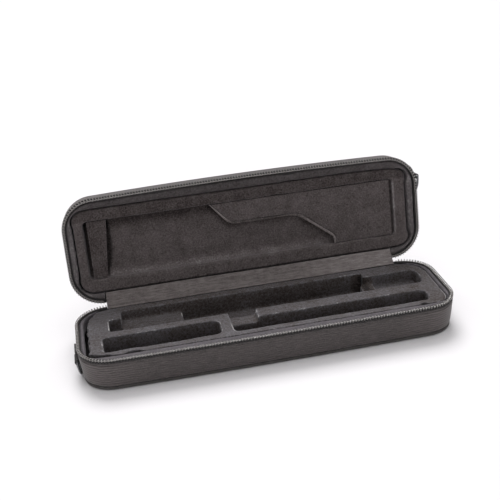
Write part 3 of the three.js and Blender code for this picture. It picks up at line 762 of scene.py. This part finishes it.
def slot_share(place):
    """How far a point of the recess floor lies in the slot beside the strap, for the rod's end."""
    if not (11 < place.z < 19 and -186.2 < place.x < -140 and -34.4 < place.y < 32.7):
        return 0
    middle = 1 - (place.y / 34) ** 2
    ragged = 1.6 * noise.noise(Vector((place.y / 3, 2.2, 0)))
    edge = ragged - 161.5 - place.y / 10 + 4.4 * middle
    return eased(edge - place.x, 0, 1.4)


def pocket_shade(place):
    """How deep a point of the recess lies in the shade of the pocket's free edge."""
    if place.x > POCKET_EDGE[-1][0]:
        return 0
    distances = []
    for start, end in zip(POCKET_EDGE, POCKET_EDGE[1:]):
        run = Vector(end) - Vector(start)
        way = place.xy - Vector(start)
        share = min(max(way.dot(run) / run.length_squared, 0), 1)
        distances.append((way - run * share).length)
    return 1 - eased(min(distances), 1.5, 7)


cloth = softened(
    copied("lid_cloth", "lid_border_frame", "lid_recess_pad"), 1.4, 12, ((0.5, 26), (0.2, 4.0)))
to_lid = LID_POSE.inverted()
slot_depth = LID_POSE.to_3x3() @ Vector((0, 0, 5 * MM))
for vert, worn_and_painted_light in painted_light_points(cloth):
    place = to_lid @ (vert.co / MM)
    in_slot = slot_share(place)
    vert.co = (LID_POSE @ lid_ends(place.copy())) * MM + slot_depth * in_slot
    # Painted light and shade in the recess: darker along its top, lighter along its foot, and a painted
    # shadow of the pocket's edge
    if place.z > 6 and -187 < place.x < 180 and -36 < place.y < 34:
        worn_and_painted_light.value -= 0.34 * eased(-place.y, 20, 30)
        worn_and_painted_light.value += 0.2 * eased(place.y, 24, 32)
        worn_and_painted_light.value -= 0.24 * pocket_shade(place)
    # Painted shade in the slot beside the strap
    worn_and_painted_light.value -= 0.35 * in_slot
    # Painted shade: the frame is a little darker along the top, and darkest where it meets the hinge's
    # strip
    worn_and_painted_light.value -= 0.16 * eased(-place.y, 35, 37)
    worn_and_painted_light.value -= 0.5 * eased(place.y, 47.6, 48.6)
    # Painted highlight on the fold at the recess's right edge
    on_fold = 1 - eased(abs(place.x - RECESS_FOLD), 0.6, 1.6)
    worn_and_painted_light.value += 0.3 * on_fold * (1 - eased(abs(place.y), 30, 34))
dressed(cloth, "lid", LID_PLUSH, ["lid_border_frame", "lid_recess_pad"])

for node, voxel, rounds, material, slot in (
    ("lid_rod_strap", 0.7, 4, LID_PLUSH, "velvet"),
    ("lid_pocket_panel", 0.8, 3, LID_PLUSH, "plush"),
    ("lid_pocket_binding", 0.5, 4, BINDING, "velvet"),
):
    soft = softened(copied(node + "_cloth", node), voxel, rounds, ((0.25, 20), (0.12, 3.5)))
    # The strap is darker all over; the pocket beyond its fold and the binding along its middle get painted
    # shade
    for vert, worn_and_painted_light in painted_light_points(soft):
        x = (to_lid @ (vert.co / MM)).x
        if node == "lid_rod_strap":
            worn_and_painted_light.value -= 0.14
        elif node == "lid_pocket_panel":
            worn_and_painted_light.value -= 0.5 * eased(x, 176, 178)
        else:
            worn_and_painted_light.value -= 0.3 * eased(x, -24, -14) * (1 - eased(x, 62, 76))
    dressed(soft, "lid", material, [node])


# ---- Hinge: inner strip and outer cover, each running from the base to the open lid

def hinge_strip(name, line, thickness, reach, material, node, wrinkles):
    """A strip of cloth of a [y, z] line, as long as the hinge, running between base and lid. Wrinkles are
    their height, their length along the hinge and their size across it."""
    bm = bmesh.new()
    verts = [bm.verts.new((-reach, y, z)) for y, z in line]
    edges = [bm.edges.new(pair) for pair in zip(verts, verts[1:])]
    drawn = bmesh.ops.extrude_edge_only(bm, edges=edges)["geom"]
    far_verts = [v for v in drawn if isinstance(v, bmesh.types.BMVert)]
    bmesh.ops.translate(bm, verts=far_verts, vec=(2 * reach, 0, 0))
    long_edges = [e for e in bm.edges if e.calc_length() > reach]
    bmesh.ops.subdivide_edges(bm, edges=long_edges, cuts=230, use_grid_fill=True)
    bmesh.ops.recalc_face_normals(bm, faces=bm.faces)
    height, length, across = wrinkles
    bm.normal_update()
    for vert in bm.verts:
        fold = noise.noise(Vector((vert.co.x / length, vert.co.y / across, vert.co.z / across)))
        vert.co += vert.normal * height * fold
    # Up leans back, halfway between the flat part over the base and the part that stands with the lid
    laid_flat(bm, up=(0, 0.6, 0.8))
    bmesh.ops.scale(bm, vec=(MM, MM, MM), verts=bm.verts)
    made = new_object(bm, name)
    # Painted sheen: the pile is lighter towards the right
    worn_and_painted_light = made.data.attributes.new("wear_and_painted_light", "FLOAT", "POINT")
    for vert, value in zip(made.data.vertices, worn_and_painted_light.data):
        value.value = 0.2 * eased(vert.co.x / MM, 40, 130)
    wall = made.modifiers.new("wall", "SOLIDIFY")
    wall.thickness = thickness * MM
    wall.offset = 0
    applied(made)
    dressed(made, None, material, [node])
    return made


def line_between(start, end, count):
    """Evenly spaced [y, z] points from start to end, both included."""
    return [[a + (b - a) * i / (count - 1) for a, b in zip(start, end)] for i in range(count)]


def in_lid(y, height):
    """A [y, height] place in the closed lid as a [y, z] place with the lid open."""
    placed = LID_POSE @ Vector((0, y, height))
    return [placed.y, placed.z]


lining_start, lining_end = [57.9, 35.6], in_lid(50.4, 4.6)
lining = hinge_strip(
    "hinge_inner_strip", line_between(lining_start, lining_end, 31), 1.0, HINGE_HALF - 0.6,
    HINGE_PILE, "hinge_lining", (0.9, 55, 2.4))
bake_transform(lining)

cover_low, cover_high = [62.7, 22.5], [62.85, 34.6]
cover_near, cover_far = in_lid(62.3, 4.5), in_lid(61.7, 16.4)
bend = [[62.95, 35.9], [63.4, 37.2], [64.4, 38.2], [65.9, 38.6], [67.6, 38.5]]
spine = hinge_strip(
    "hinge_outer_cover",
    line_between(cover_low, cover_high, 6) + bend + line_between(cover_near, cover_far, 6),
    0.9, HINGE_HALF - 0.3, NYLON, "hinge_cover", (0.12, 40, 6))
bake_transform(spine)

# ---- Rings and webbing tabs

# A ring's wire radius, half its bar's length and how far its bow hangs below the bar
RING_WIRE, RING_HALF, RING_HANG = 1.4, 11.4, 17.2
# The middles of the bars, the lid's in the lid's own millimetres
BASE_RING_BAR, BASE_RING_LEAN = (-212.2375, -17, 20.7), math.radians(8)
LID_RING_BAR = (212.181, -34, 14)


def ring_line():
    """A ring's line as [along the bar, below the bar] places."""
    arc = [math.pi * i / 24 for i in range(25)]
    bow_line = [(RING_HALF * math.cos(a), RING_HANG * math.sin(a)) for a in arc]
    return bow_line + [(RING_HALF * (i / 4 - 1), 0) for i in range(1, 8)]


def d_ring(name, places):
    """A ring bent from round wire: a straight bar through the webbing and a bow that hangs from it."""
    made = wire(name + "_ring", [places], RING_WIRE, 4, cyclic=True)
    dressed(made, name + "_ring", BLACK_NICKEL, [name + "_d_ring"])


bar_x, bar_y, bar_z = BASE_RING_BAR
d_ring("base", [
    (bar_x + down * math.sin(BASE_RING_LEAN), bar_y + along, bar_z - down * math.cos(BASE_RING_LEAN))
    for along, down in ring_line()])
bar_x, bar_y, bar_depth = LID_RING_BAR
d_ring("lid", [LID_POSE @ Vector((bar_x, bar_y + down, bar_depth + along)) for along, down in ring_line()])


def webbing_tab(name, across, up):
    """A loop of webbing, its folded edges softened. Across and up are its own directions."""
    solid = copied(name + "_ring_tab_webbing", name + "_ring_tab")
    made = softened(solid, 0.4, 2, ((0.06, 5), (0.04, 1.2)), 0)
    bm = bmesh.new()
    bm.from_mesh(made.data)
    laid_flat(bm, across=across / MM, up=up / MM)
    if name == "base":
        # The upper part stands off the side a little and reaches higher
        stand_off, lift = 1.3, 1.2
        for vert in bm.verts:
            x, z = -vert.co.x / MM, vert.co.z / MM
            share = eased(z, 24, 28) * eased(x, 210.4, 211.4)
            vert.co += Vector((-stand_off * share, 0, lift * eased(z, 30, 33))) * MM
    bm.to_mesh(made.data)
    bm.free()
    dressed(made, name, WEBBING, [name + "_ring_tab"])


webbing_tab("base", Vector((0, 1, 0)), Vector((0, 0, 1)))
webbing_tab("lid", LID_POSE.to_3x3() @ Vector((0, 0, 1)), LID_POSE.to_3x3() @ Vector((0, 1, 0)))

# Two rows of stitches hold the base's tab to the side, across the webbing above the ring
TAB_STITCH = ((0, -0.3), (0.25, 0.1), (0.5, 0.15), (0.75, 0.1), (1, -0.3))
TAB_STITCHES, TAB_STITCH_PITCH, TAB_STITCH_LENGTH, TAB_THREAD = 6, 2.5, 1.8, 0.24
TAB_FIRST_Y, TAB_ROW_HEIGHTS, TAB_FACE_OUT = -24.2, (32.6, 27.4), 1.8

rows = []
for height in TAB_ROW_HEIGHTS:
    face = RIM_LENGTH / 2 + fabric_face(BASE, BASE_HEIGHT - height) + TAB_FACE_OUT
    for i in range(TAB_STITCHES):
        start = TAB_FIRST_Y + TAB_STITCH_PITCH * i
        rows.append([(-(face + lift), start + TAB_STITCH_LENGTH * share, height)
                     for share, lift in TAB_STITCH])
dressed(wire("base_ring_tab_stitches", rows, TAB_THREAD), "base", THREAD)


# ---- Zip ends behind the back corners: sliders, pulls and the joined chain

def bevelled(name, node, width, body, material):
    """A solid with its hard edges rounded over."""
    made = copied(name, node)
    bm = bmesh.new()
    bm.from_mesh(made.data)
    bmesh.ops.dissolve_limit(bm, angle_limit=math.radians(2), verts=bm.verts, edges=bm.edges)
    sharp = [edge for edge in bm.edges if edge.calc_face_angle(0) > math.radians(50)]
    bmesh.ops.bevel(
        bm, geom=sharp, offset=width * MM, segments=2, profile=0.5, affect="EDGES", material=-1)
    bmesh.ops.recalc_face_normals(bm, faces=bm.faces)
    laid_flat(bm, across=Vector((1, 0, 0)) / MM, up=Vector((0, 0, 1)) / MM)
    bm.to_mesh(made.data)
    bm.free()
    dressed(made, body, material, [node], smooth=False)


# Where the joined chain's two coils lie: how far behind, how far in from the hinge's ends, how high
TAIL_Y, TAIL_FROM_END, TAIL_HEIGHTS = 65.84, 24.6, (27.75, 30.25)
TAIL_TURNS, TAIL_PITCH, TAIL_RADIUS, TAIL_FILAMENT = 13, 1.8, 0.85, 0.42

for side, name in ((-1, "left"), (1, "right")):
    bevelled(f"zip_slider_{name}_casting", f"zip_slider_{name}", 0.3, f"{name}_slider",
             BLACK_NICKEL)
    bevelled(f"zip_pull_{name}_tab", f"zip_pull_{name}", 0.3, f"{name}_pull", BLACK_NICKEL)
    bevelled(f"zip_tail_{name}_tape", f"zip_tail_{name}", 0.2, "base", TAPE)
    for row, height in enumerate(TAIL_HEIGHTS):
        turns = [2 * math.pi * i / 8 for i in range(8 * TAIL_TURNS)]
        line = [(side * (HINGE_HALF - TAIL_FROM_END + TAIL_PITCH * turn / (2 * math.pi)),
                 TAIL_Y + TAIL_RADIUS * math.sin(turn), height + TAIL_RADIUS * math.cos(turn))
                for turn in turns]
        dressed(wire(f"zip_tail_{name}_coil_{row}", [line], TAIL_FILAMENT, 1), "base", COIL)

for half in (BASE, LID):
    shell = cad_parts[half.name + "_shell"]
    shell.data.materials.clear()
    shell.data.materials.append(FOAM)

# ---- Floor, light and camera

scene = bpy.context.scene
scene.view_settings.view_transform = "Standard"

floor_mesh = bmesh.new()
bmesh.ops.create_grid(floor_mesh, x_segments=1, y_segments=1, size=6)
floor = new_object(floor_mesh, "floor")
# White paper, a little brighter to the camera than the light makes it
paper, paper_tree, paper_shader = new_material("white_paper", {
    "Base Color": linear("dfdddf"), "Emission Color": linear("fffcff"), "Roughness": 0.9,
    "Specular IOR Level": 0.1,
})
lit = add(paper_tree, "LightPath")
paper_tree.links.new(
    times(paper_tree, lit.outputs["Is Camera Ray"], 0.02), paper_shader.inputs["Emission Strength"])
floor.data.materials.append(paper)

world = bpy.data.worlds.new("studio")
scene.world = world
world.use_nodes = True
sky = world.node_tree
background = sky.nodes["Background"]
background.inputs["Color"].default_value = (1, 1, 1, 1)
seen = add(sky, "LightPath").outputs["Is Camera Ray"]
strength = add(sky, "MapRange", {"Value": seen, "To Min": 0.14, "To Max": 1.0})
sky.links.new(strength.outputs[0], background.inputs["Strength"])


def soft_light(name, towards, spread, strength):
    """A broad even light that comes from a direction, spread over an angle in degrees."""
    lamp = bpy.data.lights.new(name, "SUN")
    lamp.angle = math.radians(spread)
    lamp.energy = strength
    made = bpy.data.objects.new(name, lamp)
    made.rotation_euler = Vector(towards).to_track_quat("Z", "Y").to_euler()
    scene.collection.objects.link(made)


# Broad light from above and from behind, so a short shadow falls in front, and a weak one from the front
soft_light("top_light", (0.0, -0.02, 1.0), 60, 1.6)
soft_light("back_light", (0.0, 0.68, 1.0), 34, 2.55)
soft_light("front_light", (-0.1, -1.0, 0.3), 40, 0.7)

camera_data = bpy.data.cameras.new("camera")
camera_data.sensor_width = 36
camera_data.lens = 66.13
camera_data.clip_start = 0.05
camera = bpy.data.objects.new("camera", camera_data)
# The photo's camera, as solved from the photo: its direction and distance from a target, in metres
azimuth, elevation, roll = (math.radians(v) for v in (-9.52, 25.19, -4.55))
back = Vector((
    math.sin(azimuth) * math.cos(elevation), -math.cos(azimuth) * math.cos(elevation), math.sin(elevation)))
right = Vector((math.cos(azimuth), math.sin(azimuth), 0))
up = back.cross(right)
right, up = (right * math.cos(roll) + up * math.sin(roll), up * math.cos(roll) - right * math.sin(roll))
target, distance = Vector((-0.01789, -0.03918, 0.12905)), 0.95418
turned = Matrix((right, up, back)).transposed().to_4x4()
camera.matrix_world = Matrix.Translation(target + back * distance) @ turned
scene.collection.objects.link(camera)
scene.camera = camera

bpy.context.view_layer.update()
